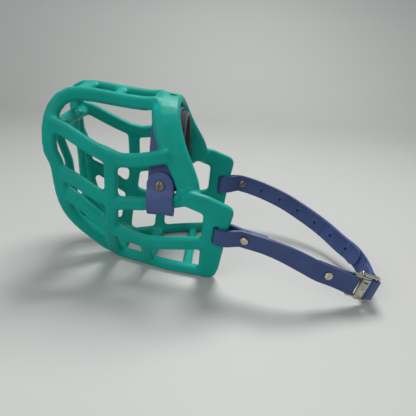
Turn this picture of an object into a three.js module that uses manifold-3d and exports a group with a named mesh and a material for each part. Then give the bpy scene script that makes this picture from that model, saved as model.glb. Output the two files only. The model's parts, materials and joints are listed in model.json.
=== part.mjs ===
// Basket muzzle for a large dog: a moulded rubber basket, a padded noseband and a two-part neck strap
// joined by a quick clip.
// Frame, in millimetres: the floor is z = 0, the nose end points to -X, +Z is up and +Y is the dog's
// right-hand side. The origin is under the middle floor rung, on the centre plane. Shapes are drawn with
// x = 0 midway between the two neck strap slots, and moved along x when they are put together.

import * as THREE from 'three';
import { mergeVertices } from 'three/addons/utils/BufferGeometryUtils.js';
import Module from 'manifold-3d';

const wasm = await Module();
wasm.setup();

// ---- Driving dimensions ----

const LEFT = -1;
const RIGHT = 1;
const GAP = 0.4;

const BAR_WIDTH = 12;
const RAIL_HEIGHT = 13;
const RAIL_THICK = 8;
const RECESS_THICK = 6;
const FLOOR_RAIL_HEIGHT = 10;
const MIDDLE_RUNG_X = -71;
const INNER_BAR = 6.5;
const NOSE_RELIEF_Z = 164.2;
const RIM_WIDTH = 21.5;
const RIM_THICK = 8.4;
const RIDGE_Y = 17.5;
const RIDGE_THICK = 9.2;

const EAR_THICK = 7;
const EAR_LEAN = THREE.MathUtils.degToRad(10.3);
const EAR_YAW = THREE.MathUtils.degToRad(8);
const EAR_BASE = { x: -15, w: 48 };
const EAR_SHIFT = 1.65;
const SLOT_WIDTH = 4.6;
const SLOT_HEIGHT = 21.5;
const SLOT_Z = 59;
const SLOT_HEIGHT_UP = SLOT_Z / Math.cos(EAR_LEAN);
const SLOT_SLANT = 0.1;
const SLOT_CLEARANCE = 1.5;
const EAR_AXIS_X = 6;

const NECK_WIDTH = 19;
const NOSE_WIDTH = 25.4;
const STRAP_THICK = 2.5;
const LAYER_STEP = STRAP_THICK + GAP;
const HOLE_RADIUS = 1.6;
const FOAM_THICK = 7;
const FOAM_WIDTH = 32;
const FOAM_SET_BACK = 4;

const NOSE_RIVET = 4.6;
const NECK_RIVET = 4;
const POST_RADIUS = 1.2;

const TAIL_HOLES = 6;
const TAIL_HOLE_PITCH = 25.4;
const SCREW_TO_TURN = 4;

const CLIP_BAR = 1.25;
const CLIP_LENGTH = 22;
const LEFT_FOLD = 3.3;
const RIGHT_FOLD = 3.9;

// ---- Solids ----

function toSolid(geometry) {
  const bare = geometry.index ? geometry.toNonIndexed() : geometry.clone();
  bare.deleteAttribute('normal');
  bare.deleteAttribute('uv');
  const merged = mergeVertices(bare, 1e-4);
  return new wasm.Manifold(new wasm.Mesh({
    numProp: 3,
    vertProperties: new Float32Array(merged.attributes.position.array),
    triVerts: new Uint32Array(merged.index.array),
  }));
}

function toGeometry(solid) {
  const mesh = solid.getMesh();
  const geometry = new THREE.BufferGeometry();
  geometry.setAttribute('position', new THREE.BufferAttribute(new Float32Array(mesh.vertProperties), 3));
  geometry.setIndex(new THREE.BufferAttribute(new Uint32Array(mesh.triVerts), 1));
  geometry.computeVertexNormals();
  return geometry;
}

function join(solids) {
  return solids.reduce((whole, next) => whole.add(next));
}

function cut(solid, tools) {
  return tools.reduce((whole, tool) => whole.subtract(tool), solid);
}

// A curve whose cross-section keeps one side turned to a given direction all along it.
class GuidedCurve extends THREE.CatmullRomCurve3 {
  constructor(points, guide) {
    super(points, false, 'centripetal');
    this.guide = guide;
  }

  computeFrenetFrames(segments) {
    const tangents = [];
    const normals = [];
    const binormals = [];
    for (let i = 0; i <= segments; i += 1) {
      const u = i / segments;
      const tangent = this.getTangentAt(u);
      const normal = this.guide(this.getPointAt(u), u).clone();
      normal.addScaledVector(tangent, -normal.dot(tangent)).normalize();
      tangents.push(tangent);
      normals.push(normal);
      binormals.push(new THREE.Vector3().crossVectors(tangent, normal));
    }
    return { tangents, normals, binormals };
  }
}

// A rectangle with cut corners: x along the guide direction, y across it.
function barShape(thick, width, corner) {
  const a = thick / 2;
  const b = width / 2;
  const shape = new THREE.Shape();
  shape.moveTo(-a + corner, -b);
  shape.lineTo(a - corner, -b);
  shape.lineTo(a, -b + corner);
  shape.lineTo(a, b - corner);
  shape.lineTo(a - corner, b);
  shape.lineTo(-a + corner, b);
  shape.lineTo(-a, b - corner);
  shape.lineTo(-a, -b + corner);
  shape.closePath();
  return shape;
}

function plainShape(thick, width) {
  const shape = new THREE.Shape();
  shape.moveTo(-thick / 2, -width / 2);
  shape.lineTo(thick / 2, -width / 2);
  shape.lineTo(thick / 2, width / 2);
  shape.lineTo(-thick / 2, width / 2);
  shape.closePath();
  return shape;
}

function sweep(shape, points, guide, steps) {
  const extrudePath = new GuidedCurve(points, guide);
  return new THREE.ExtrudeGeometry(shape, { steps, extrudePath, bevelEnabled: false });
}

// Points are written as [x, distance from the centre plane, z].
function onSide(side, points) {
  return points.map(([x, w, z]) => new THREE.Vector3(x, side * w, z));
}

function sideBar(side, points, { thick = RAIL_THICK, width = RAIL_HEIGHT, corner = 2.2, steps = 8 } = {}) {
  const outward = new THREE.Vector3(0, side, 0);
  return toSolid(sweep(barShape(thick, width, corner), onSide(side, points), () => outward, steps));
}

// A bar from the left side to the right side, with its thickness turned to the given direction.
function crossBar(points, facing, { thick = 8, width = 10, corner = 2.2, steps = 8 } = {}) {
  const path = points.map((point) => new THREE.Vector3(...point));
  const face = new THREE.Vector3(...facing);
  return toSolid(sweep(barShape(thick, width, corner), path, () => face, steps));
}

// ---- Basket ----

// The long bar that runs along the bridge of the nose, round the front with a step in it, and down to
// the floor.
function ridgeBar(side) {
  return sideBar(side, [
    [-60.6, RIDGE_Y, 170.4], [-70, RIDGE_Y, 169.4], [-92, RIDGE_Y, 171.2], [-128, RIDGE_Y, 175.5],
    [-142, RIDGE_Y + 2, 175.5], [-152.8, 25, 169.3], [-158, 32, 158], [-160.3, 37, 144.5],
    [-160.8, 38.5, 130], [-160.2, 39, 123],
    [-156, 38.5, 112],
    [-155.5, 38.5, 100], [-154.5, 38, 80], [-152, 35, 64], [-148, 32, 53], [-142, 28.5, 42],
    [-129, 24, 26], [-118, 21.5, 14.5], [-108, 20, 8.6], [-100, 20.5, 6.6],
  ], { thick: RIDGE_THICK, width: BAR_WIDTH, steps: 28 });
}

function floorRail(side) {
  const z = FLOOR_RAIL_HEIGHT / 2;
  return sideBar(side, [
    [-108, 19.5, z], [-90, 25.5, z], [-70, 33, z], [-50, 39.5, z], [-30, 44, z], [-10, 47.5, z],
  ], { thick: 9, width: FLOOR_RAIL_HEIGHT, steps: 10 });
}

function upperRail(side) {
  return sideBar(side, [
    [-158, 38, 152], [-148, 40, 149], [-130, 43, 139], [-108, 46.5, 127.5], [-96, 47.5, 123.5],
    [-81, 49, 123.5], [-62, 51, 127], [-46, 51.5, 131],
  ]);
}

// The noseband hangs in the thinner middle stretch.
function middleRail(side) {
  const front = sideBar(side, [
    [-156, 38.5, 107], [-149, 41, 104], [-135, 45, 98], [-110, 49.5, 84], [-96, 51, 80.5], [-80, 53, 82],
    [-70, 54.2, 82.8],
  ]);
  const recess = sideBar(side, [
    [-72, 54, 82.6], [-62, 55.3, 84], [-52, 56.6, 86], [-42, 58, 88.5], [-32, 59.5, 91.5],
  ], { thick: RECESS_THICK, steps: 5 });
  return join([front, recess]);
}

function lowerRail(side) {
  return sideBar(side, [
    [-155, 36, 86], [-149, 38.5, 83], [-135, 42, 73], [-113, 44.5, 55], [-99, 46, 47], [-76, 50, 40],
    [-60, 52, 39], [-28, 56, 43], [-8, 58, 46],
  ], { steps: 10 });
}

function cornerPost(side) {
  return sideBar(side, [
    [-101, 47.5, 124], [-101, 49.5, 106], [-102, 51, 82], [-103, 49, 64], [-106, 44, 48], [-109, 34, 27],
    [-109, 22, 8],
  ], { width: BAR_WIDTH, steps: 9 });
}

function shortPost(side) {
  return sideBar(side, [[-70, 50.5, 40], [-70.5, 43, 21], [-71, 33, 5]], { width: 11, thick: 7, steps: 4 });
}

// The two slim bars inside the front: they copy the outer bars' step and run under the chin.
function innerBar(side) {
  return sideBar(side, [
    [-150, 20, 151], [-157, 19.5, 138], [-158, 19, 128], [-153.5, 18.5, 115], [-152.5, 18, 101],
    [-152.5, 17, 80], [-150.5, 16, 64], [-146.5, 15.5, 53], [-140, 15, 42], [-127.5, 14, 26],
    [-116.5, 13, 14], [-108, 12, 7],
  ], { thick: INNER_BAR, width: INNER_BAR + 1, corner: 1.6, steps: 15 });
}

const RIM_HALF = [
  [-26.4, 59.1, 89.2], [-26.8, 57.7, 100.2], [-30.7, 54.2, 112.3], [-36.5, 50.2, 124.3], [-41.5, 45.8, 135.4],
  [-45, 41.2, 145.5], [-48, 35.2, 155.6], [-50, 26.6, 164.4], [-51, 14, 170],
];
const RIM_CROWN = [-51.5, 0, 172];

// The middle of the rim's forward part, from above the noseband's tail to the crown.
const BROW_HALF = [
  [-38.5, 49.8, 124.5], [-45.5, 45.7, 134.5], [-51.5, 41.1, 145.3], [-55, 35.1, 155.4], [-57, 26.5, 164.1],
  [-58, 14, 169.4],
];
const BROW_CROWN = [-58.5, 0, 171.2];
const BROW_WIDTH = 16;

// An arched band over the nose. Its outer face leans back at the top and forward at the sides.
function archBand(half, crown, width, steps) {
  const left = onSide(LEFT, half);
  const right = onSide(RIGHT, half).reverse();
  const guide = (point) => new THREE.Vector3((point.z - 125) * 0.2, point.y, (point.z - 100) * 0.8);
  const points = [...left, new THREE.Vector3(...crown), ...right];
  return toSolid(sweep(barShape(RIM_THICK, width, 2.6), points, guide, steps));
}

function rim() {
  return archBand(RIM_HALF, RIM_CROWN, RIM_WIDTH, 28).add(archBand(BROW_HALF, BROW_CROWN, BROW_WIDTH, 22));
}

// Takes side-view coordinates (x along, y up the lean, z through the plate) to the rear post's plane.
function earMatrix(side) {
  return new THREE.Matrix4().makeTranslation(EAR_BASE.x + EAR_SHIFT, side * EAR_BASE.w, 0)
    .multiply(new THREE.Matrix4().makeRotationZ(side * EAR_YAW))
    .multiply(new THREE.Matrix4().makeRotationX(Math.PI / 2 - side * EAR_LEAN))
    .multiply(new THREE.Matrix4().makeTranslation(-EAR_BASE.x, 0, 0));
}

// The rear post, its foot, and the ear that carries the strap slot.
function rearPost(side) {
  const outline = [
    [-17, 3.6], [-13, 0.6], [-6, 0.6], [0, 4], [3.5, 14], [8.5, 46], [12.5, 68], [16.5, 85], [15.5, 90],
    [12, 93], [-8, 101.5], [-24, 105], [-32, 100], [-34, 88], [-28, 89], [-11, 82.5], [-13.5, 54],
    [-16.5, 17],
  ];
  const shape = new THREE.Shape(outline.map(([x, z]) => new THREE.Vector2(x, z)));
  const depth = EAR_THICK - 3;
  const plate = new THREE.ExtrudeGeometry(shape, {
    depth, steps: 1, bevelEnabled: true, bevelThickness: 1.5, bevelSize: 1.5, bevelOffset: -1.5,
    bevelSegments: 1,
  });
  plate.translate(0, 0, -depth / 2);
  const slot = new THREE.BoxGeometry(SLOT_WIDTH, SLOT_HEIGHT, EAR_THICK * 3);
  slot.rotateZ(-SLOT_SLANT);
  slot.translate(0, SLOT_HEIGHT_UP, 0);
  const placed = [plate, slot].map((geometry) => toSolid(geometry.applyMatrix4(earMatrix(side))));
  return placed[0].subtract(placed[1]);
}

function crossBars() {
  const noseEnd = crossBar([[-134, -RIDGE_Y - 2, 175.7], [-134, RIDGE_Y + 2, 175.7]], [0, 0, 1],
    { thick: 11, width: 13, steps: 2 });
  const ladderRung = crossBar([[-102.5, -RIDGE_Y, 171.8], [-102.5, RIDGE_Y, 171.8]], [0, 0, 1],
    { thick: 9, width: 9.5, steps: 2 });
  const browRung = crossBar([
    [-151, -39, 147], [-154, -20, 147], [-155, 0, 147], [-154, 20, 147], [-151, 39, 147],
  ], [0.75, 0, 0.66], { thick: 7, width: 12 });
  const chinRung = crossBar([
    [-148, -33, 55], [-151.5, -16, 55], [-152, 0, 55], [-151.5, 16, 55], [-148, 33, 55],
  ], [1, 0, 0.4], { thick: 6.5, width: 9 });
  const rungThick = 8;
  const floorZ = rungThick / 2;
  const floorRungs = [[-107, 20, 12], [MIDDLE_RUNG_X, 33, 12], [-29, 44, 9]].map(([x, w, width]) => (
    crossBar([[x, -w, floorZ], [x, w, floorZ]], [0, 0, 1], { thick: rungThick, width, steps: 2 })
  ));
  return [noseEnd, ladderRung, browRung, chinRung, ...floorRungs];
}

// The ridge bars are relieved underneath where they meet the rim, so the noseband can slide forward.
function basket() {
  const sides = [LEFT, RIGHT].flatMap((side) => [
    ridgeBar(side), floorRail(side), upperRail(side), middleRail(side), lowerRail(side), cornerPost(side),
    shortPost(side), innerBar(side), rearPost(side),
  ]);
  const vent = new THREE.BoxGeometry(5, 5, 20);
  vent.rotateZ(Math.PI / 4);
  vent.translate(-49, 0, 172);
  const relief = new THREE.BoxGeometry(13, 50, 14);
  relief.translate(-65, 0, NOSE_RELIEF_Z - 7);
  return cut(join([rim(), ...sides, ...crossBars()]), [vent, relief].map(toSolid));
}

// ---- Straps ----

// A frame of reference for a rivet or a fold: origin, outward normal and strap direction.
function frameAt(origin, normal, along) {
  const z = normal.clone().normalize();
  const x = along.clone().addScaledVector(z, -along.dot(z)).normalize();
  const y = new THREE.Vector3().crossVectors(z, x);
  return new THREE.Matrix4().makeBasis(x, y, z).setPosition(origin);
}

function drill(frame, radius, depth = 14) {
  const hole = new THREE.CylinderGeometry(radius, radius, depth, 12);
  hole.rotateX(Math.PI / 2);
  hole.applyMatrix4(frame);
  return toSolid(hole);
}

// Rounds off a strap's end: removes what lies outside a half circle at the frame's origin.
function tipCutter(frame, width) {
  const r = width / 2;
  const shape = new THREE.Shape();
  shape.moveTo(0, r);
  shape.absarc(0, 0, r, Math.PI / 2, -Math.PI / 2, true);
  shape.lineTo(0, -r - 4);
  shape.lineTo(r + 6, -r - 4);
  shape.lineTo(r + 6, r + 4);
  shape.lineTo(0, r + 4);
  shape.closePath();
  const geometry = new THREE.ExtrudeGeometry(shape, { depth: 3.6, bevelEnabled: false, curveSegments: 10 });
  geometry.translate(0, 0, -1.8);
  geometry.applyMatrix4(frame);
  return toSolid(geometry);
}

// A domed rivet cap with a blind socket, and the flanged post that enters it. The frame's origin is the
// middle of the outer layer; its z axis points outward; reach is the depth of leather to the inner face.
function rivetPair(frame, radius, reach) {
  const top = STRAP_THICK / 2 + GAP;
  const bottom = -reach - GAP;
  const dome = 1.9;
  const rise = new THREE.QuadraticBezierCurve(
    new THREE.Vector2(radius, top + 0.5), new THREE.Vector2(radius * 0.9, top + dome),
    new THREE.Vector2(0, top + dome),
  );
  const socket = POST_RADIUS + 0.3;
  const capProfile = [
    new THREE.Vector2(0, top + 0.9), new THREE.Vector2(socket, top + 0.9), new THREE.Vector2(socket, top),
    new THREE.Vector2(radius, top), ...rise.getPoints(3),
  ];
  const postProfile = [
    new THREE.Vector2(0, bottom - 1), new THREE.Vector2(radius * 0.85, bottom - 1),
    new THREE.Vector2(radius * 0.85, bottom), new THREE.Vector2(POST_RADIUS, bottom),
    new THREE.Vector2(POST_RADIUS, top + 0.5), new THREE.Vector2(0, top + 0.5),
  ];
  return [capProfile, postProfile].map((profile, index) => {
    const turned = new THREE.LatheGeometry(profile, index === 0 ? 16 : 10);
    turned.rotateX(Math.PI / 2);
    turned.applyMatrix4(frame);
    return toGeometry(toSolid(turned));
  });
}

// ---- Noseband ----

const NOSE_CROWN_X = -52.8;
const NOSE_SIDE_X = -53.5;
const NOSE_FLARE = 0.14;
const CROWN_Z = 162.2;
const NOSE_RIVET_Z = 103.4;
const NOSE_REACH = 8.7;
const NOSE_TAIL_LEAN = 0.22;

// Half of the inner layer, from the foot of the loop up to the crown: [distance from centre plane, z].
const NOSE_HALF = [
  [51.4, 84], [51, 94], [48.1, 106], [44.3, 117], [40.4, 128], [35.4, 138], [30, 147], [23.5, 154.5],
  [12, 160.3],
];

function noseX(z) {
  const t = THREE.MathUtils.smoothstep(z, 100, 150);
  return NOSE_SIDE_X + (NOSE_CROWN_X - NOSE_SIDE_X) * t;
}

// Across the noseband: straight back over the crown, and flared with the basket at the sides.
function noseAcross(point) {
  const flare = NOSE_FLARE * (1 - THREE.MathUtils.smoothstep(point.z, 90, 150));
  return new THREE.Vector3(1, Math.sign(point.y) * flare, 0);
}

function noseArch() {
  const half = (side) => NOSE_HALF.map(([w, z]) => new THREE.Vector3(noseX(z), side * w, z));
  return [...half(LEFT), new THREE.Vector3(NOSE_CROWN_X, 0, CROWN_Z), ...half(RIGHT).reverse()];
}

// The riveted tail is straight: its distance from the centre plane at a height.
function noseTailWidth(z) {
  return 56.3 - NOSE_TAIL_LEAN * (z - NOSE_RIVET_Z);
}

// From the rivet tail, down outside the middle rail, under it, and to the foot of the inner layer.
function noseLoop(side) {
  const tail = [116.5, 112, 107.5, NOSE_RIVET_Z, 99].map((z) => [noseTailWidth(z), z]);
  const outer = [[61.8, 93.8], [62.3, 87.5], [61.7, 81]];
  const fold = [[59.4, 75.9], [55.4, 74.3], [52.2, 76.8]];
  return [...tail, ...outer, ...fold].map(([w, z]) => new THREE.Vector3(NOSE_SIDE_X, side * w, z));
}

function nosebandStrap() {
  const points = [...noseLoop(LEFT), ...noseArch(), ...noseLoop(RIGHT).reverse()];
  const strap = toSolid(sweep(plainShape(NOSE_WIDTH, STRAP_THICK), points, noseAcross, 76));
  const tools = [LEFT, RIGHT].flatMap((side) => {
    const frame = noseRivetFrame(side);
    return [drill(frame, HOLE_RADIUS, 24), tipCutter(frame, NOSE_WIDTH)];
  });
  return cut(strap, tools);
}

// The tail's rivet, which is also the centre of the tail's rounded tip: x points up the tail.
function noseRivetFrame(side) {
  const origin = new THREE.Vector3(NOSE_SIDE_X, side * noseTailWidth(NOSE_RIVET_Z), NOSE_RIVET_Z);
  const up = new THREE.Vector3(0, -side * NOSE_TAIL_LEAN, 1);
  const outward = new THREE.Vector3().crossVectors(up, noseAcross(origin)).multiplyScalar(side);
  return frameAt(origin, outward, up);
}

// The pad lies inside the strap, reaching out behind it, with a shallow pocket over each rivet.
function foamPad() {
  const inset = (STRAP_THICK + FOAM_THICK) / 2 + GAP;
  const points = innerLayer(noseArch(), () => new THREE.Vector3(1, 0, 0), RIGHT, inset).slice(1, -1)
    .map((point) => point.addScaledVector(noseAcross(point), FOAM_SET_BACK));
  const pad = toSolid(sweep(barShape(FOAM_WIDTH, FOAM_THICK, 1.5), points, noseAcross, 28));
  const pocketDepth = NOSE_REACH + GAP + 1 + GAP;
  return cut(pad, [LEFT, RIGHT].map((side) => drill(noseRivetFrame(side), NOSE_RIVET, 2 * pocketDepth)));
}

// ---- Neck straps ----

// The clip's own directions: along it, across the strap, and out of its face.
const CLIP_ORIGIN = new THREE.Vector3(131.5, -80, 24.8);
const CLIP_ACROSS = new THREE.Vector3(0.3, 0.1, 0.95).normalize();
const CLIP_ALONG = new THREE.Vector3(0.94, 0.15, -0.31);
CLIP_ALONG.addScaledVector(CLIP_ACROSS, -CLIP_ALONG.dot(CLIP_ACROSS)).normalize();
const CLIP_OUT = new THREE.Vector3().crossVectors(CLIP_ALONG, CLIP_ACROSS);

function clipPoint(along, across, out) {
  return CLIP_ORIGIN.clone().addScaledVector(CLIP_ALONG, along).addScaledVector(CLIP_ACROSS, across)
    .addScaledVector(CLIP_OUT, out);
}

// A point at the strap's mid-height on the rear post: x along it, out from its middle plane.
function earPoint(side, x, out) {
  return new THREE.Vector3(x, SLOT_HEIGHT_UP, -side * out).applyMatrix4(earMatrix(side));
}

// Up along the slot.
function earUp(side) {
  const up = new THREE.Vector3(Math.sin(SLOT_SLANT), Math.cos(SLOT_SLANT), 0);
  return up.transformDirection(earMatrix(side));
}

// Turns evenly from the ear's upward direction to the clip's across direction.
function turningUp(side, bent) {
  const start = earUp(side);
  return (point) => {
    const t = THREE.MathUtils.smoothstep(point.x, bent[0], bent[1]);
    return start.clone().lerp(CLIP_ACROSS, t).normalize();
  };
}

// The strap passes once through the slot: these points go from the inner layer round the slot's rear bar
// to the outer layer.
function slotTurn(side) {
  const out = EAR_THICK / 2 + SLOT_CLEARANCE + STRAP_THICK / 2;
  const outer = [[0.1, out - 2.2], [2.6, out - 0.1], [7, out], [12, out]];
  const inner = [[0.1, 2.2 - out], [2.6, 0.1 - out], [6.5, -out], [11, 1 - out]].reverse();
  return [...inner, [-0.2, 0], ...outer].map(([x, height]) => earPoint(side, x, height));
}

function strapNormal(points, index, up, side) {
  const before = points[Math.max(index - 1, 0)];
  const after = points[Math.min(index + 1, points.length - 1)];
  const tangent = after.clone().sub(before).normalize();
  return new THREE.Vector3().crossVectors(up(points[index]), tangent).normalize().multiplyScalar(side);
}

function innerLayer(points, up, side, step = LAYER_STEP) {
  return points.map((point, i) => point.clone().addScaledVector(strapNormal(points, i, up, side), -step));
}

// The outer layer of each strap from the rear post to the clip: [x, distance from centre plane, z].
const LEFT_RUN = [
  [24, 68.8, 59.6], [28, 69.9, 59.2], [36, 72, 58.4], [47, 75, 57], [66, 79, 51.9], [85, 81.3, 44],
];
const RIGHT_RUN = [
  [24, 69.1, 58.6], [28, 69.2, 57.8], [38, 69, 55.4], [54, 66, 51.3], [79, 58, 43.6], [104, 43, 34.4],
  [125, 23, 27], [141.5, -3, 21.5], [149.3, -17, 20.2], [153.5, -32, 18.6],
];
const LEFT_TAIL = 4;
const leftUp = turningUp(LEFT, [48, 104]);
const rightUp = turningUp(RIGHT, [60, 150]);
const leftRun = onSide(LEFT, LEFT_RUN);
const rightRun = onSide(RIGHT, RIGHT_RUN);
const leftTail = innerLayer(leftRun.slice(0, LEFT_TAIL), leftUp, LEFT).reverse();
const rightTail = innerLayer(rightRun, rightUp, RIGHT).reverse();

// The strap's end at a clip bar: centre of the bar, the way the strap travels, and its outer side.
const LEFT_TRAVEL = new THREE.Vector3(0.93, 0.03, -0.36).normalize();
const LEFT_END = {
  centre: CLIP_ORIGIN,
  travel: LEFT_TRAVEL,
  outer: new THREE.Vector3().crossVectors(LEFT_TRAVEL, CLIP_ACROSS).normalize(),
  radius: LEFT_FOLD,
  rivet: 26,
  tail: 40,
};
const RIGHT_TRAVEL = new THREE.Vector3(-0.08, -0.99, 0.06).normalize();
const RIGHT_END = {
  centre: clipPoint(CLIP_LENGTH, 0, 0),
  travel: RIGHT_TRAVEL,
  outer: new THREE.Vector3().crossVectors(CLIP_ACROSS, RIGHT_TRAVEL).normalize(),
  radius: RIGHT_FOLD,
  rivet: 24,
  tail: 32,
};
const FOLD_START = 6;
const FOLD_CLOSED = 15;

function endPoint({ centre, travel, outer }, before, out) {
  return centre.clone().addScaledVector(travel, -before).addScaledVector(outer, out);
}

// Both layers at a clip bar: closed together, opened round the bar, and closed again.
function endFold(end) {
  const half = LAYER_STEP / 2;
  const wide = end.radius;
  const arriving = [
    endPoint(end, end.tail - 4, half), endPoint(end, FOLD_CLOSED, half),
    endPoint(end, FOLD_START, wide - 0.5),
  ];
  const turn = [0, 30, 60, 90, 120, 150, 180].map((degrees) => {
    const angle = THREE.MathUtils.degToRad(degrees);
    return endPoint(end, -Math.sin(angle) * wide, Math.cos(angle) * wide);
  });
  const leaving = [
    endPoint(end, FOLD_START, 0.5 - wide), endPoint(end, FOLD_CLOSED, -half),
    endPoint(end, end.tail, -half),
  ];
  return [...arriving, ...turn, ...leaving];
}

function neckStrap(points, up, steps) {
  return toSolid(sweep(plainShape(NECK_WIDTH, STRAP_THICK), points, up, steps));
}

// The frame of the rivet nearest the slot, on the outer layer.
function slotRivetFrame(points, up, side) {
  return frameAt(points[1], strapNormal(points, 1, up, side), up(points[1]));
}

function endRivetFrame(end, face) {
  const origin = endPoint(end, end.rivet, (face * LAYER_STEP) / 2);
  return frameAt(origin, end.outer.clone().multiplyScalar(face), CLIP_ACROSS);
}

// Turns a rivet frame round to start from the inner layer.
function fromInside(frame) {
  return frame.clone().multiply(new THREE.Matrix4().makeTranslation(0, 0, -LAYER_STEP))
    .multiply(new THREE.Matrix4().makeRotationX(Math.PI));
}

const leftSlotRivet = slotRivetFrame(leftRun, leftUp, LEFT);
const rightSlotScrew = fromInside(slotRivetFrame(rightRun, rightUp, RIGHT));
const leftClipRivet = endRivetFrame(LEFT_END, 1);
const rightClipRivet = endRivetFrame(RIGHT_END, -1);

function leftStrap() {
  const points = [...leftTail, ...slotTurn(LEFT), ...leftRun, ...endFold(LEFT_END)];
  const holes = [leftSlotRivet, leftClipRivet].map((frame) => drill(frame, HOLE_RADIUS));
  return cut(neckStrap(points, leftUp, 104), holes);
}

// The right strap's tail has the adjusting holes and a rounded tip.
function rightStrap() {
  const points = [...rightTail, ...slotTurn(RIGHT), ...rightRun, ...endFold(RIGHT_END)];
  const tailCurve = new THREE.CatmullRomCurve3(rightTail, false, 'centripetal');
  const length = tailCurve.getLength();
  const frameOnTail = (distance) => {
    const u = distance / length;
    const point = tailCurve.getPointAt(u);
    const tangent = tailCurve.getTangentAt(u);
    return frameAt(point, new THREE.Vector3().crossVectors(rightUp(point), tangent), tangent.negate());
  };
  const tools = [drill(rightSlotScrew, HOLE_RADIUS), drill(rightClipRivet, HOLE_RADIUS)];
  for (let hole = 1; hole <= TAIL_HOLES; hole += 1) {
    const distance = length - SCREW_TO_TURN - hole * TAIL_HOLE_PITCH;
    tools.push(drill(frameOnTail(distance), HOLE_RADIUS, 3.1));
  }
  tools.push(tipCutter(frameOnTail(NECK_WIDTH / 2 - 0.3), NECK_WIDTH));
  return cut(neckStrap(points, rightUp, 150), tools);
}

// ---- Quick clip ----
// Drawn in the clip's own frame: x along the clip, y across the strap, z out of its face.

const CLIP_SIDE = { inner: 10, thick: 1.5, height: 6.4, start: -2.6, end: 14.6 };
const KEEPER_ARM = { inner: 12, thick: 1.4, height: 5, start: 7.8, end: 24 };
const PEG = { x: 9.6, z: -1.2, radius: 0.9 };
const PIN = { x: 12.8, z: 0.6, radius: 0.9, half: 11.6 };
const COVER = { start: 5.2, end: 14.4, bottom: 2.8, top: 4.4, half: 9.6 };

function box(x0, x1, y0, y1, z0, z1) {
  const geometry = new THREE.BoxGeometry(x1 - x0, y1 - y0, z1 - z0);
  return toSolid(geometry.translate((x0 + x1) / 2, (y0 + y1) / 2, (z0 + z1) / 2));
}

function rod(x, z, radius, y0, y1, segments = 14) {
  const geometry = new THREE.CylinderGeometry(radius, radius, y1 - y0, segments);
  return toSolid(geometry.translate(x, (y0 + y1) / 2, z));
}

// The same solid on both sides of the clip: between two distances from its middle.
function bothSides(make) {
  const leftSpan = (near, far) => [-far, -near];
  const rightSpan = (near, far) => [near, far];
  return [leftSpan, rightSpan].map(make);
}

function clipFrame() {
  const { inner, thick, height, start, end } = CLIP_SIDE;
  const plates = bothSides((span) => {
    const [y0, y1] = span(inner, inner + thick);
    const notch = box(PEG.x - 1.3, PEG.x + 1.3, y0 - 1, y1 + 1, -height, PEG.z + 1.2);
    const pinHole = rod(PIN.x, PIN.z, PIN.radius + 0.2, y0 - 1, y1 + 1);
    return box(start, end, y0, y1, -height / 2, height / 2).subtract(notch).subtract(pinHole);
  });
  const bar = rod(0, 0, CLIP_BAR, -inner - 0.5, inner + 0.5);
  const bridge = box(5.4, 7.6, -inner - 0.5, inner + 0.5, -height / 2, -1.8);
  return join([...plates, bar, bridge]);
}

function clipKeeper() {
  const { inner, thick, height, start, end } = KEEPER_ARM;
  const arms = bothSides((span) => {
    const [y0, y1] = span(inner, inner + thick);
    const [p0, p1] = span(inner - 1.7, inner + 0.4);
    return box(start, end, y0, y1, -height / 2, height / 2).add(rod(PEG.x, PEG.z, PEG.radius, p0, p1));
  });
  return join([...arms, rod(CLIP_LENGTH, 0, CLIP_BAR, -inner - 0.5, inner + 0.5)]);
}

function clipLever() {
  const { start, end, bottom, top, half } = COVER;
  const lugs = bothSides((span) => {
    const [y0, y1] = span(half - 1.5, half);
    const lug = box(11.2, end, y0, y1, -1, bottom + 0.5);
    return lug.subtract(rod(PIN.x, PIN.z, PIN.radius + 0.2, y0 - 1, y1 + 1));
  });
  return join([box(start, end, -half, half, bottom, top), ...lugs]);
}

function leverSpring() {
  const turns = 5;
  const coil = 1.55;
  const length = 9;
  const points = [new THREE.Vector3(7.4, -length / 2, 1.9)];
  const perTurn = 8;
  for (let i = 0; i <= turns * perTurn; i += 1) {
    const angle = (i / perTurn) * Math.PI * 2;
    const y = -length / 2 + (i / (turns * perTurn)) * length;
    points.push(new THREE.Vector3(PIN.x + Math.sin(angle) * coil, y, PIN.z + Math.cos(angle) * coil));
  }
  const wire = new THREE.Shape();
  wire.absarc(0, 0, 0.35, 0, Math.PI * 2);
  const extrudePath = new THREE.CatmullRomCurve3(points, false, 'centripetal');
  const options = { steps: 60, extrudePath, curveSegments: 3, bevelEnabled: false };
  return toSolid(new THREE.ExtrudeGeometry(wire, options));
}

// ---- Assembly ----

const object = new THREE.Group();
object.name = 'basket_muzzle';
const muzzle = new THREE.Group();
muzzle.position.x = -MIDDLE_RUNG_X;
object.add(muzzle);

function addPiece(name, geometry, finish, parent = muzzle) {
  const mesh = new THREE.Mesh(geometry, new THREE.MeshStandardMaterial(finish));
  mesh.name = name;
  parent.add(mesh);
}

const RUBBER = { color: 0x048a78, roughness: 0.5, metalness: 0 };
const COATED_WEBBING = { color: 0x5f6aa8, roughness: 0.45, metalness: 0 };
const FOAM = { color: 0x20262a, roughness: 0.95, metalness: 0 };
const NICKEL = { color: 0xb9b8ae, roughness: 0.3, metalness: 1 };
const addRubber = (name, solid) => addPiece(name, toGeometry(solid), RUBBER);
const addStrap = (name, solid) => addPiece(name, toGeometry(solid), COATED_WEBBING);
const addFoam = (name, solid) => addPiece(name, toGeometry(solid), FOAM);
const addMetal = (name, geometry, parent) => addPiece(name, geometry, NICKEL, parent);

function addRivet(name, frame, radius, reach) {
  const [cap, post] = rivetPair(frame, radius, reach);
  addMetal(`${name}_cap`, cap);
  addMetal(`${name}_post`, post);
}

const TWO_LAYERS = LAYER_STEP + STRAP_THICK / 2;

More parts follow.
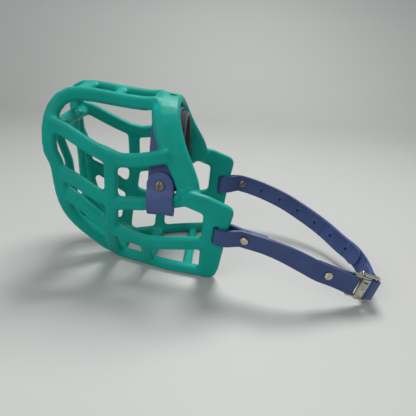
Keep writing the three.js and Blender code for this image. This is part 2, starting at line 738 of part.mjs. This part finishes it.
addRubber('basket', basket());
addStrap('noseband_strap', nosebandStrap());
addFoam('foam_pad', foamPad());
addRivet('noseband_left_rivet', noseRivetFrame(LEFT), NOSE_RIVET, NOSE_REACH);
addRivet('noseband_right_rivet', noseRivetFrame(RIGHT), NOSE_RIVET, NOSE_REACH);
addStrap('left_neck_strap', leftStrap());
addRivet('left_slot_rivet', leftSlotRivet, NECK_RIVET, TWO_LAYERS);
addRivet('left_clip_rivet', leftClipRivet, NECK_RIVET, TWO_LAYERS);
addStrap('right_neck_strap', rightStrap());
addRivet('right_slot_screw', rightSlotScrew, NECK_RIVET, TWO_LAYERS);
addRivet('right_clip_rivet', rightClipRivet, NECK_RIVET, TWO_LAYERS);

// The quick clip is drawn in its own frame and set between the two strap ends.
const clip = new THREE.Group();
const clipPlace = new THREE.Matrix4().makeBasis(CLIP_ALONG, CLIP_ACROSS, CLIP_OUT);
clip.applyMatrix4(clipPlace.setPosition(CLIP_ORIGIN));
muzzle.add(clip);
addMetal('clip_frame', toGeometry(clipFrame()), clip);
addMetal('clip_keeper', toGeometry(clipKeeper()), clip);
addMetal('clip_lever', toGeometry(clipLever()), clip);
addMetal('lever_pin', toGeometry(rod(PIN.x, PIN.z, PIN.radius, -PIN.half, PIN.half)), clip);
addMetal('lever_spring', toGeometry(leverSpring()), clip);

export default object;
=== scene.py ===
import json
import math

import bmesh
import bpy
import numpy as np
from mathutils import Matrix, Vector


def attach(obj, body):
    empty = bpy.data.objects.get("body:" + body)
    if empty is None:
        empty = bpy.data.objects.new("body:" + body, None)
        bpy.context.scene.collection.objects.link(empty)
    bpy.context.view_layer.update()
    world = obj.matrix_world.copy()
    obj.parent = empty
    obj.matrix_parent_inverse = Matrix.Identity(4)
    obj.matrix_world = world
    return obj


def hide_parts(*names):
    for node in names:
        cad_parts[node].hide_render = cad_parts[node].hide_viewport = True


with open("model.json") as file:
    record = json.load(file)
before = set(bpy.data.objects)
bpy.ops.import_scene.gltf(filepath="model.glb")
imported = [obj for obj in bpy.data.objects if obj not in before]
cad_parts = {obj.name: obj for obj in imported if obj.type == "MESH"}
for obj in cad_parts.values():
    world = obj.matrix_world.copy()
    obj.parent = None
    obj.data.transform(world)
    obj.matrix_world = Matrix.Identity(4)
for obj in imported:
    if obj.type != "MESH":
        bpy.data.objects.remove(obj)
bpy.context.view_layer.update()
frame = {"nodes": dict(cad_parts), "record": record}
JOINTS = {joint["name"]: joint for joint in frame["record"]["behaviour"]["joints"]}
MM = 0.001
ORIGIN_X = 71 * MM  # from the middle between the strap slots to the frame's origin, along x


# ---------------------------------------------------------------- node materials

class Nodes:
    """A small wrapper that adds and links shader nodes."""

    def __init__(self, name):
        self.material = bpy.data.materials.new(name)
        self.material.use_nodes = True
        self.tree = self.material.node_tree
        self.bsdf = self.tree.nodes["Principled BSDF"]
        self.coords = self.add("ShaderNodeTexCoord").outputs["Object"]

    def add(self, kind, inputs=None, **settings):
        node = self.tree.nodes.new(kind)
        for key, value in settings.items():
            setattr(node, key, value)
        for key, value in (inputs or {}).items():
            self.put(node.inputs[key], value)
        return node

    def put(self, socket, value):
        if isinstance(value, bpy.types.NodeSocket):
            self.tree.links.new(value, socket)
        else:
            socket.default_value = value

    def noise(self, scale, detail=3.0, rough=0.5, coords=None):
        inputs = {"Vector": coords or self.coords, "Scale": scale, "Detail": detail, "Roughness": rough}
        return self.add("ShaderNodeTexNoise", inputs).outputs["Fac"]

    def cells(self, scale):
        return self.add("ShaderNodeTexVoronoi", {"Vector": self.coords, "Scale": scale}).outputs["Distance"]

    def span(self, value, low, high, out_low=0.0, out_high=1.0):
        inputs = {"Value": value, "From Min": low, "From Max": high, "To Min": out_low, "To Max": out_high}
        return self.add("ShaderNodeMapRange", inputs).outputs["Result"]

    def mix(self, factor, first, second, blend="MIX"):
        node = self.add("ShaderNodeMix", data_type="RGBA", blend_type=blend)
        self.put(node.inputs[0], factor)
        self.put(node.inputs[6], first)
        self.put(node.inputs[7], second)
        return node.outputs[2]

    def bump(self, height, distance, strength=1.0, normal=None):
        inputs = {"Height": height, "Distance": distance, "Strength": strength}
        if normal is not None:
            inputs["Normal"] = normal
        return self.add("ShaderNodeBump", inputs).outputs["Normal"]

    def finish(self, **values):
        for key, value in values.items():
            self.put(self.bsdf.inputs[key.replace("_", " ")], value)
        return self.material


def rgb(red, green, blue):
    """An sRGB colour written in 0..255 as a linear colour."""
    channels = [c / 255 for c in (red, green, blue)]
    return tuple(c / 12.92 if c <= 0.04045 else ((c + 0.055) / 1.055) ** 2.4 for c in channels) + (1.0,)


def rubber_material():
    n = Nodes("moulded_rubber")
    cloud = n.span(n.noise(28, 4), 0.3, 0.7)
    base = n.mix(cloud, rgb(0, 146, 132), rgb(0, 160, 146))
    edges = n.add("ShaderNodeNewGeometry").outputs["Pointiness"]
    worn = n.span(edges, 0.515, 0.60)
    scuffed = n.mix(n.span(n.noise(240, 5, 0.65), 0.45, 0.62), worn, (0, 0, 0, 1), "MULTIPLY")
    colour = n.mix(n.span(scuffed, 0, 1, 0, 0.3), base, rgb(30, 172, 150))
    specks = n.span(n.noise(1500, 2), 0.66, 0.74, 0, 0.2)
    colour = n.mix(specks, colour, rgb(70, 180, 160))
    grain = n.bump(n.noise(2600, 2), 0.00005, 0.5)
    flow = n.bump(n.noise(130, 3), 0.00035, 0.35, grain)
    rough = n.span(n.noise(70, 4), 0.3, 0.7, 0.34, 0.48)
    return n.finish(Base_Color=colour, Roughness=rough, Normal=flow, Specular_IOR_Level=0.18)


def webbing_material():
    n = Nodes("coated_webbing")
    cloud = n.span(n.noise(45, 4), 0.3, 0.7)
    base = n.mix(cloud, rgb(47, 65, 112), rgb(57, 75, 126))
    edges = n.add("ShaderNodeNewGeometry").outputs["Pointiness"]
    # the strap edges are painted lighter by pointiness: a painted highlight
    painted_edge_highlight = n.span(edges, 0.52, 0.62, 0, 0.45)
    colour = n.mix(painted_edge_highlight, base, rgb(80, 98, 154))
    marks = n.span(n.noise(420, 4, 0.7), 0.62, 0.75, 0, 0.25)
    colour = n.mix(marks, colour, rgb(40, 52, 92))
    pores = n.bump(n.cells(1500), 0.00006, 0.4)
    skin = n.bump(n.noise(800, 4, 0.6), 0.00012, 0.45, pores)
    rough = n.span(n.noise(110, 3), 0.3, 0.7, 0.42, 0.58)
    return n.finish(Base_Color=colour, Roughness=rough, Normal=skin, IOR=1.46)


def foam_material():
    n = Nodes("closed_cell_foam")
    cells = n.cells(950)
    colour = n.mix(n.span(cells, 0.1, 0.6), rgb(10, 19, 23), rgb(25, 34, 38))
    lint = n.span(n.noise(500, 5, 0.75), 0.64, 0.72, 0, 0.4)
    colour = n.mix(lint, colour, rgb(76, 80, 78))
    relief = n.bump(cells, 0.0003, 0.6)
    relief = n.bump(n.noise(160, 3), 0.0006, 0.4, relief)
    sheen = {"Sheen_Weight": 0.25, "Sheen_Roughness": 0.5}
    return n.finish(Base_Color=colour, Roughness=0.95, Normal=relief, **sheen)


def nickel_material(name, tint, rough_low, rough_high):
    n = Nodes(name)
    stretched = n.add("ShaderNodeMapping", {"Vector": n.coords, "Scale": (1, 1, 14)}).outputs["Vector"]
    scratches = n.noise(420, 4, 0.7, stretched)
    tarnish = n.span(n.noise(190, 5, 0.7), 0.48, 0.68)
    colour = n.mix(tarnish, tint, rgb(146, 138, 118))
    # crevices such as the screw slots are painted dark from ambient occlusion: painted shade
    painted_crevice_shade = n.add("ShaderNodeAmbientOcclusion", {"Distance": 1.6 * MM}, samples=6).outputs["AO"]
    colour = n.mix(n.span(painted_crevice_shade, 0.25, 0.8), rgb(48, 45, 42), colour)
    rough = n.span(scratches, 0.3, 0.7, rough_low, rough_high)
    relief = n.bump(scratches, 0.00003, 0.5)
    relief = n.bump(n.noise(900, 3), 0.00004, 0.4, relief)
    return n.finish(Base_Color=colour, Metallic=1.0, Roughness=rough, Normal=relief)


RUBBER = rubber_material()
WEBBING = webbing_material()
FOAM = foam_material()
NICKEL = nickel_material("nickel_plate", rgb(196, 196, 188), 0.24, 0.42)
RIVET = nickel_material("nickel_rivet", rgb(214, 206, 186), 0.2, 0.34)
SCREW = nickel_material("dull_nickel_screw", rgb(128, 122, 108), 0.26, 0.4)


# ---------------------------------------------------------------- mesh helpers

def new_object(name, mesh):
    made = bpy.data.objects.new(name, mesh)
    bpy.context.scene.collection.objects.link(made)
    return made


def copy_of(node, name):
    return new_object(name, frame["nodes"][node].data.copy())


def finish_mesh(piece, material):
    """Applies the piece's modifiers and gives it one material."""
    bpy.context.view_layer.update()
    depsgraph = bpy.context.evaluated_depsgraph_get()
    mesh = bpy.data.meshes.new_from_object(piece.evaluated_get(depsgraph))
    piece.modifiers.clear()
    piece.data = mesh
    mesh.materials.clear()
    mesh.materials.append(material)


def shade(mesh, degrees):
    """Smooth shading, with edges sharper than the angle kept crisp."""
    mesh.shade_smooth()
    if degrees is not None:
        mesh.set_sharp_from_angle(angle=math.radians(degrees))


def remesh(piece, voxel):
    piece.modifiers.new("remesh", "REMESH").voxel_size = voxel
    piece.modifiers[-1].mode = "VOXEL"


def swell(piece, amount):
    grow = piece.modifiers.new("swell", "DISPLACE")
    grow.mid_level = 0.0
    grow.strength = amount


def relax(piece, rounds):
    smooth = piece.modifiers.new("relax", "SMOOTH")
    smooth.factor = 0.5
    smooth.iterations = rounds


def break_edges(piece, width, degrees, segments):
    bevel = piece.modifiers.new("edges", "BEVEL")
    bevel.width = width
    bevel.segments = segments
    bevel.limit_method = "ANGLE"
    bevel.angle_limit = math.radians(degrees)


def cutter(name, size, place):
    mesh = bpy.data.meshes.new(name)
    solid = bmesh.new()
    bmesh.ops.create_cube(solid, size=1.0, matrix=place @ Matrix.Diagonal((*size, 1.0)))
    solid.to_mesh(mesh)
    solid.free()
    return new_object(name, mesh)


def subtract(piece, tool):
    cut = piece.modifiers.new("cut", "BOOLEAN")
    cut.operation = "DIFFERENCE"
    cut.object = tool
    cut.solver = "EXACT"


# ---------------------------------------------------------------- basket

EAR_BASE = (ORIGIN_X - 13.35 * MM, 48 * MM)
EAR_YAW = math.radians(8)
EAR_LEAN = math.radians(10.3)
EAR_PIVOT = -15 * MM
SLOT_UP = 59 * MM / math.cos(EAR_LEAN)
SLOT_SLANT = 0.1  # radians
SLOT_PLUG = (5.2 * MM, 22 * MM, 5 * MM)
SLOT_TOOL = (4.3 * MM, 21.6 * MM, 24 * MM)
SLOT_SHIFT = 0.25 * MM
VENT_PLACE = (ORIGIN_X - 49 * MM, 0, 172 * MM)
VENT_TOOL = (6.4 * MM, 6.4 * MM, 20 * MM)
FILLET = 2.4 * MM
REGAIN = 0.4 * MM  # what the remeshing and smoothing take off the bars
STRAP_ROOM = 1.5 * MM  # kept clear of fillets past the end of the noseband's slide
COARSE = 1.1 * MM
FINE = 0.95 * MM


def slot_place(side):
    """The middle of a strap slot: x across it, y along it, z through the ear."""
    foot = Matrix.Translation((EAR_BASE[0], side * EAR_BASE[1], 0))
    turned = foot @ Matrix.Rotation(side * EAR_YAW, 4, "Z")
    plate = turned @ Matrix.Rotation(math.pi / 2 - side * EAR_LEAN, 4, "X")
    return plate @ Matrix.Translation((-EAR_PIVOT, SLOT_UP, 0)) @ Matrix.Rotation(-SLOT_SLANT, 4, "Z")


def basket_piece():
    """The moulding: inner corners filled with fillets, outer edges rounded, slots and vent cut again.

    Room is also cut for the noseband at the end of its slide, which the fillets would fill."""
    piece = copy_of("basket", "basket_moulding")
    joined = bmesh.new()
    joined.from_mesh(piece.data)
    slots = [slot_place(side) for side in (-1, 1)]
    for place in slots:
        bmesh.ops.create_cube(joined, size=1.0, matrix=place @ Matrix.Diagonal((*SLOT_PLUG, 1.0)))
    joined.to_mesh(piece.data)
    joined.free()
    remesh(piece, COARSE)
    swell(piece, FILLET)
    remesh(piece, COARSE)
    swell(piece, REGAIN - FILLET)
    shift = Matrix.Translation((SLOT_SHIFT, 0, 0))
    tools = [cutter("slot_tool", SLOT_TOOL, place @ shift) for place in slots]
    vent = Matrix.Translation(VENT_PLACE) @ Matrix.Rotation(math.pi / 4, 4, "Z")
    tools.append(cutter("vent_tool", VENT_TOOL, vent))
    slid_strap = copy_of("noseband_strap", "slid_strap_tool")
    slid_strap.location.x = JOINTS["noseband_slide"]["range_m"][0] - STRAP_ROOM
    tools.append(slid_strap)
    for tool in tools:
        subtract(piece, tool)
    remesh(piece, FINE)
    relax(piece, 4)
    finish_mesh(piece, RUBBER)
    for tool in tools:
        bpy.data.objects.remove(tool)
    shade(piece.data, None)
    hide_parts("basket")
    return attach(piece, "basket")


# ---------------------------------------------------------------- straps

STRAP_EDGE = 0.55 * MM


def strap_piece(node, body):
    """A strap with softly rounded edges and holes."""
    piece = copy_of(node, node + "_webbing")
    solid = bmesh.new()
    solid.from_mesh(piece.data)
    bmesh.ops.remove_doubles(solid, verts=solid.verts, dist=0.01 * MM)
    bmesh.ops.dissolve_limit(solid, angle_limit=math.radians(0.05), verts=solid.verts, edges=solid.edges)
    solid.to_mesh(piece.data)
    solid.free()
    break_edges(piece, STRAP_EDGE, 50, 3)
    piece.modifiers.new("normals", "WEIGHTED_NORMAL").keep_sharp = True
    shade(piece.data, 60)
    finish_mesh(piece, WEBBING)
    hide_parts(node)
    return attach(piece, body)


# ---------------------------------------------------------------- foam pad

PAD_VOXEL = 1.6 * MM
PAD_SHRINK = 0.9 * MM  # taken off before the cloth swells, and the most it may move back out
PAD_PRESSURE = 4.0
CLOTH_FRAMES = 12


def pad_piece():
    """The pad: a slightly smaller copy of the solid, swollen as cloth so its edges pull in round."""
    piece = copy_of("foam_pad", "foam_pad_soft")
    remesh(piece, PAD_VOXEL)
    swell(piece, -PAD_SHRINK)
    remesh(piece, PAD_VOXEL)
    finish_mesh(piece, FOAM)
    rest = np.empty(len(piece.data.vertices) * 3)
    piece.data.vertices.foreach_get("co", rest)
    rest = rest.reshape(-1, 3)
    cloth = piece.modifiers.new("cloth", "CLOTH")
    cloth.settings.use_pressure = True
    cloth.settings.uniform_pressure_force = PAD_PRESSURE
    cloth.settings.effector_weights.gravity = 0.0
    for frame_number in range(1, CLOTH_FRAMES + 1):
        bpy.context.scene.frame_set(frame_number)
    finish_mesh(piece, FOAM)
    bpy.context.scene.frame_set(1)
    swollen = np.empty(len(piece.data.vertices) * 3)
    piece.data.vertices.foreach_get("co", swollen)
    move = swollen.reshape(-1, 3) - rest
    length = np.linalg.norm(move, axis=1, keepdims=True)
    move *= np.minimum(1.0, PAD_SHRINK / np.maximum(length, 1e-9))
    piece.data.vertices.foreach_set("co", (rest + move).ravel())
    piece.data.update()
    relax(piece, 3)
    piece.modifiers.new("smooth", "SUBSURF").levels = 1
    finish_mesh(piece, FOAM)
    shade(piece.data, None)
    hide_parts("foam_pad")
    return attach(piece, "noseband")


# ---------------------------------------------------------------- rivets and screws

class Disc:
    """The place and size of a round CAD piece, from its own vertices."""

    def __init__(self, node, below):
        points = np.array([vertex.co for vertex in frame["nodes"][node].data.vertices])
        under = np.array([vertex.co for vertex in frame["nodes"][below].data.vertices])
        axis = np.linalg.svd(points - points.mean(0), full_matrices=False)[2][2]
        if np.dot(axis, points.mean(0) - under.mean(0)) < 0:
            axis = -axis
        heights = points @ axis
        flat = points - np.outer(heights, axis)
        middle = (flat.max(0) + flat.min(0)) / 2
        self.radius = float(np.linalg.norm(flat - middle, axis=1).max())
        self.rise = float(heights.max() - heights.min())
        turn = Vector((0, 0, 1)).rotation_difference(Vector(axis)).to_matrix().to_4x4()
        self.base = Matrix.Translation(Vector(middle) + Vector(axis) * float(heights.min())) @ turn
        self.top = self.base @ Matrix.Translation((0, 0, self.rise))


# Outlines of the heads, from the underside up: share of the radius, share of the height.
DOMED_HEAD = [
    (0.0, 0.02), (0.9, 0.02), (0.985, 0.1), (1.0, 0.26), (0.975, 0.42), (0.9, 0.56),
    (0.82, 0.62), (0.78, 0.66), (0.7, 0.78), (0.5, 0.91), (0.25, 0.98), (0.0, 1.0),
]
DIMPLED_HEAD = [
    (0.0, 0.02), (0.9, 0.02), (0.985, 0.1), (1.0, 0.28), (0.97, 0.48), (0.9, 0.68),
    (0.78, 0.82), (0.6, 0.92), (0.38, 0.95), (0.32, 0.9), (0.28, 0.74), (0.0, 0.7),
]
HEAD_STEPS = 40
GROOVE_WIDTH = 1.3 * MM
GROOVE_EDGE = 0.1 * MM
POST_EDGE = 0.15 * MM


def head_mesh(name, disc, outline):
    """The outline turned round the disc's axis."""
    solid = bmesh.new()
    rings = []
    for share, height in outline:
        ring = []
        for i in range(HEAD_STEPS if share else 1):
            angle = 2 * math.pi * i / HEAD_STEPS
            across = share * disc.radius
            point = Vector((across * math.cos(angle), across * math.sin(angle), height * disc.rise))
            ring.append(solid.verts.new(disc.base @ point))
        rings.append(ring)
    for lower, upper in zip(rings, rings[1:]):
        for i in range(HEAD_STEPS):
            j = (i + 1) % HEAD_STEPS
            near = [lower[i % len(lower)], lower[j % len(lower)]]
            far = [upper[j % len(upper)], upper[i % len(upper)]]
            solid.faces.new(list(dict.fromkeys(near + far)))
    bmesh.ops.recalc_face_normals(solid, faces=solid.faces)
    mesh = bpy.data.meshes.new(name)
    solid.to_mesh(mesh)
    solid.free()
    return mesh


def cap_piece(rivet, body, material, slot_turn):
    """A rivet's head: dimpled, or domed with a screwdriver slot turned by the angle given, in radians."""
    node = rivet + "_cap"
    disc = Disc(node, rivet + "_post")
    outline = DIMPLED_HEAD if slot_turn is None else DOMED_HEAD
    piece = new_object(node + "_head", head_mesh(node, disc, outline))
    tool = None
    if slot_turn is not None:
        size = (disc.radius * 1.7, GROOVE_WIDTH, disc.rise * 1.1)
        tool = cutter("groove_tool", size, disc.top @ Matrix.Rotation(slot_turn, 4, "Z"))
        subtract(piece, tool)
        break_edges(piece, GROOVE_EDGE, 55, 1)
    finish_mesh(piece, material)
    if tool:
        bpy.data.objects.remove(tool)
    shade(piece.data, 35)
    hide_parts(node)
    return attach(piece, body)


def metal_node(node, material, edge):
    """A CAD metal part keeps its shape: only its edges are broken and its material set."""
    part = frame["nodes"][node]
    part.data.materials.clear()
    part.data.materials.append(material)
    if edge:
        break_edges(part, edge, 40, 2)
        part.modifiers.new("normals", "WEIGHTED_NORMAL")


# ---------------------------------------------------------------- clip

FRAME_EDGE = 0.25 * MM
COVER_EDGE = 0.2 * MM
PIN_ALONG = 12.8 * MM
PIN_OUT = 0.6 * MM
COVER_TOP = 4.4 * MM
WINDOW_TOOL = (5.0 * MM, 2.2 * MM, 5 * MM)
WINDOW_PLACE = (9.8 * MM, 6.3 * MM, COVER_TOP)
PRESSED_GROOVE = (0.5 * MM, 16 * MM, 0.5 * MM)
GROOVES_ALONG = (6.5 * MM, 13.1 * MM)


def clip_place():
    """The clip's own frame: x along it, y across the strap, z out of its face."""
    origin = Vector(JOINTS["clip_swing"]["pos_m"])
    pin = Vector(JOINTS["lever_turn"]["pos_m"])
    across = Vector(JOINTS["clip_swing"]["axis"]).normalized()
    tilt = Matrix.Rotation(math.atan2(PIN_OUT, PIN_ALONG), 3, across)
    along = (tilt @ (pin - origin)).normalized()
    turn = Matrix((along, across, along.cross(across))).transposed().to_4x4()
    return Matrix.Translation(origin) @ turn


def cover_piece():
    """The clip's cover plate, with its stamped window and two pressed grooves."""
    piece = copy_of("clip_lever", "clip_cover_plate")
    place = clip_place()
    tools = [cutter("window_tool", WINDOW_TOOL, place @ Matrix.Translation(WINDOW_PLACE))]
    for along in GROOVES_ALONG:
        groove = Matrix.Translation((along, 0, COVER_TOP))
        tools.append(cutter("pressed_groove_tool", PRESSED_GROOVE, place @ groove))
    for tool in tools:
        subtract(piece, tool)
    break_edges(piece, COVER_EDGE, 40, 2)
    finish_mesh(piece, NICKEL)
    for tool in tools:
        bpy.data.objects.remove(tool)
    shade(piece.data, 35)
    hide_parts("clip_lever")
    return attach(piece, "lever")


basket_piece()
cover_piece()
strap_piece("noseband_strap", "noseband")
strap_piece("left_neck_strap", "left_strap")
strap_piece("right_neck_strap", "right_strap")
pad_piece()
HEADS = [
    ("noseband_left_rivet", "noseband", SCREW, 1.5), ("noseband_right_rivet", "noseband", SCREW, 0.4),
    ("left_slot_rivet", "left_strap", RIVET, None), ("left_clip_rivet", "left_strap", RIVET, None),
    ("right_slot_screw", "right_strap", SCREW, 1.1), ("right_clip_rivet", "right_strap", RIVET, None),
]
for rivet, body, material, slot_turn in HEADS:
    cap_piece(rivet, body, material, slot_turn)
    metal_node(rivet + "_post", RIVET, POST_EDGE)
for node in ("clip_frame", "clip_keeper"):
    metal_node(node, NICKEL, FRAME_EDGE)
metal_node("lever_pin", NICKEL, POST_EDGE)
metal_node("lever_spring", NICKEL, 0)


# ---------------------------------------------------------------- stage, light and camera

FLOOR_REACH = 4.0
FLOOR_BACK = 0.6
BEND_RADIUS = 0.7
BACKDROP_TOP = (1.35, 3.0)
CAMERA_YAW = -2.1307
CAMERA_PITCH = 26.6425
CAMERA_ROLL = 2.5873
CAMERA_PLACE = (ORIGIN_X + 4.3 * MM, -393.5 * MM, 252.7 * MM)
SENSOR_WIDTH = 36.0
FOCAL_SHARE = 400 / 416  # the focal length over the image width
LIT_POINT = (0.04, 0.0, 0.07)


def sweep_backdrop():
    """A pale floor that curves up into a backdrop behind the object."""
    profile = [(-FLOOR_REACH, 0.0), (FLOOR_BACK, 0.0)]
    for a in np.linspace(0.08, 1.5, 20):
        profile.append((FLOOR_BACK + BEND_RADIUS * math.sin(a), BEND_RADIUS - BEND_RADIUS * math.cos(a)))
    profile.append(BACKDROP_TOP)
    solid = bmesh.new()
    rows = [[solid.verts.new((x, y, z)) for x in (-FLOOR_REACH, FLOOR_REACH)] for y, z in profile]
    for low, high in zip(rows, rows[1:]):
        solid.faces.new((low[0], low[1], high[1], high[0]))
    mesh = bpy.data.meshes.new("floor")
    solid.to_mesh(mesh)
    solid.free()
    mesh.shade_smooth()
    floor = new_object("floor", mesh)
    n = Nodes("paper_sweep")
    split = n.add("ShaderNodeSeparateXYZ", {"Vector": n.coords}).outputs
    # the floor is painted darker from near to mid-distance as painted shade; the backdrop above is pale
    # again
    colour = n.mix(n.span(split["Y"], -0.2, 0.5), rgb(197, 198, 196), rgb(165, 167, 165))
    colour = n.mix(n.span(split["Y"], 0.6, 1.1), colour, rgb(192, 194, 192))
    mottled = n.span(n.noise(9, 3), 0.35, 0.65, 0, 0.05)
    colour = n.mix(mottled, colour, rgb(190, 192, 190))
    paper = n.bump(n.noise(500, 2), 0.0001, 0.3)
    mesh.materials.append(n.finish(Base_Color=colour, Roughness=0.62, Normal=paper))


def area_light(name, place, size, power, colour):
    data = bpy.data.lights.new(name, "AREA")
    data.shape = "DISK"
    data.size = size
    data.energy = power
    data.color = colour
    lamp = new_object(name, data)
    lamp.location = place
    lamp.visible_camera = False
    lamp.rotation_euler = (Vector(LIT_POINT) - Vector(place)).to_track_quat("-Z", "Y").to_euler()


def camera():
    yaw, pitch, roll = (math.radians(a) for a in (CAMERA_YAW, CAMERA_PITCH, CAMERA_ROLL))
    forward = Vector((math.sin(yaw) * math.cos(pitch), math.cos(yaw) * math.cos(pitch), -math.sin(pitch)))
    right = forward.cross(Vector((0, 0, 1))).normalized()
    up = right.cross(forward)
    right, up = right * math.cos(roll) + up * math.sin(roll), up * math.cos(roll) - right * math.sin(roll)
    data = bpy.data.cameras.new("camera")
    data.sensor_width = SENSOR_WIDTH
    data.lens = SENSOR_WIDTH * FOCAL_SHARE
    data.clip_start = 0.01
    eye = new_object("camera", data)
    turn = Matrix((right, up, -forward)).transposed().to_4x4()
    eye.matrix_world = Matrix.Translation(CAMERA_PLACE) @ turn
    bpy.context.scene.camera = eye


sweep_backdrop()
area_light("key", (0.2, 0.46, 0.98), size=0.5, power=10.2, colour=(1.0, 0.99, 0.98))
area_light("fill", (-0.45, -0.75, 0.7), size=0.9, power=2.6, colour=(0.95, 0.98, 1.0))
world = bpy.data.worlds.new("studio")
bpy.context.scene.world = world
world.use_nodes = True
world.node_tree.nodes["Background"].inputs["Color"].default_value = (0.95, 0.97, 0.965, 1)
world.node_tree.nodes["Background"].inputs["Strength"].default_value = 0.45
bpy.context.scene.view_settings.view_transform = "Standard"
camera()
